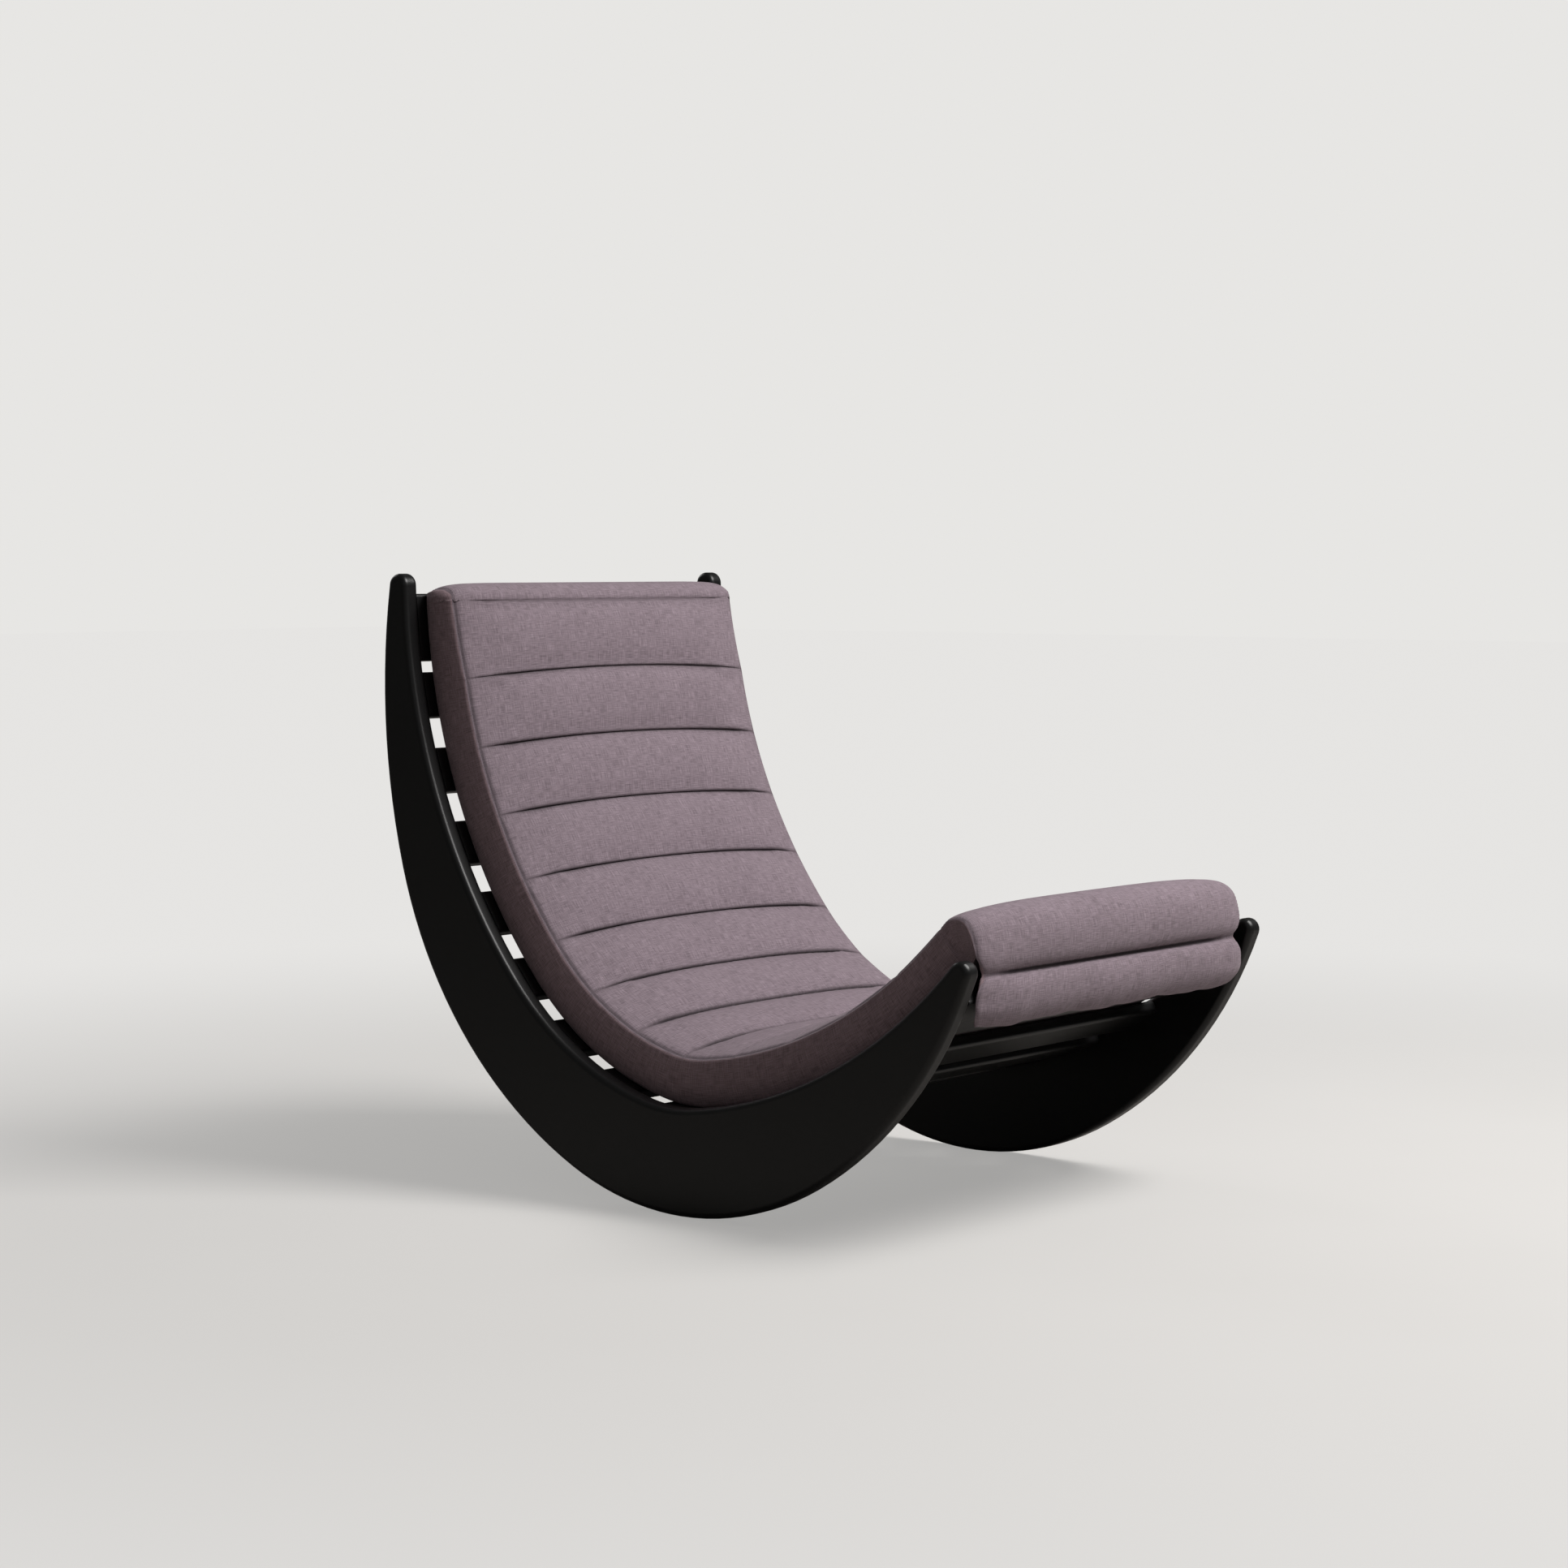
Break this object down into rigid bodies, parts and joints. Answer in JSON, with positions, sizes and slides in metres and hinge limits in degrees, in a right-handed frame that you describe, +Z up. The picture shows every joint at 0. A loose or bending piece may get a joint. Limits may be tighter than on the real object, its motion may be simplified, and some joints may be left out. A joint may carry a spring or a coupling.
{
  "type": "rocking chaise lounge",
  "caption": "Rocking chaise lounge with two crescent side boards that roll on the floor, cross slats and a long channel-quilted cushion that lifts off.",
  "frame": {"origin": "on the floor under the middle of the lounge as it stands, half way between the board ends", "axes": "+X across the width, +Y along the length towards the head end, +Z up"},
  "size_m": [0.69, 1.0164, 0.8456],
  "materials": {
    "black_lacquer": "satin black lacquer over plywood, with rounded edges",
    "black_steel": "satin black paint over a solid square steel bar",
    "dowel_wood": "plain beech dowels, glued",
    "quilt_fabric": "mauve-grey plain-woven slub upholstery fabric, sewn in cross channels",
    "band_fabric": "the same fabric in a darker brownish mauve",
    "base_fabric": "dark plain lining cloth",
    "foam": "soft cut foam slab",
    "zip_tape": "woven zip tape with a coil zip",
    "zip_metal": "dark lacquered metal"
  },
  "bodies": {
    "frame": {"side_board_left": "black_lacquer", "side_board_right": "black_lacquer", "slat_01": "black_lacquer", "slat_02": "black_lacquer", "slat_03": "black_lacquer", "slat_04": "black_lacquer", "slat_05": "black_lacquer", "slat_06": "black_lacquer", "slat_07": "black_lacquer", "slat_08": "black_lacquer", "slat_09": "black_lacquer", "slat_10": "black_lacquer", "slat_11": "black_lacquer", "slat_12": "black_lacquer", "head_rail": "black_lacquer", "foot_rail": "black_steel", "dowels_left": "dowel_wood", "dowels_right": "dowel_wood"},
    "cushion": {"foam_core": "foam", "quilted_top_panel": "quilt_fabric", "head_band": "quilt_fabric", "side_band_left": "band_fabric", "side_band_right": "band_fabric", "base_panel": "base_fabric", "zip_tape": "zip_tape", "zip_slider": "zip_metal"}
  },
  "joints": [
    {"name": "cushion_lift", "type": "slide", "parent": "frame", "child": "cushion", "axis": [0, 0, 1], "range_m": [0, 0.75]}
  ]
}
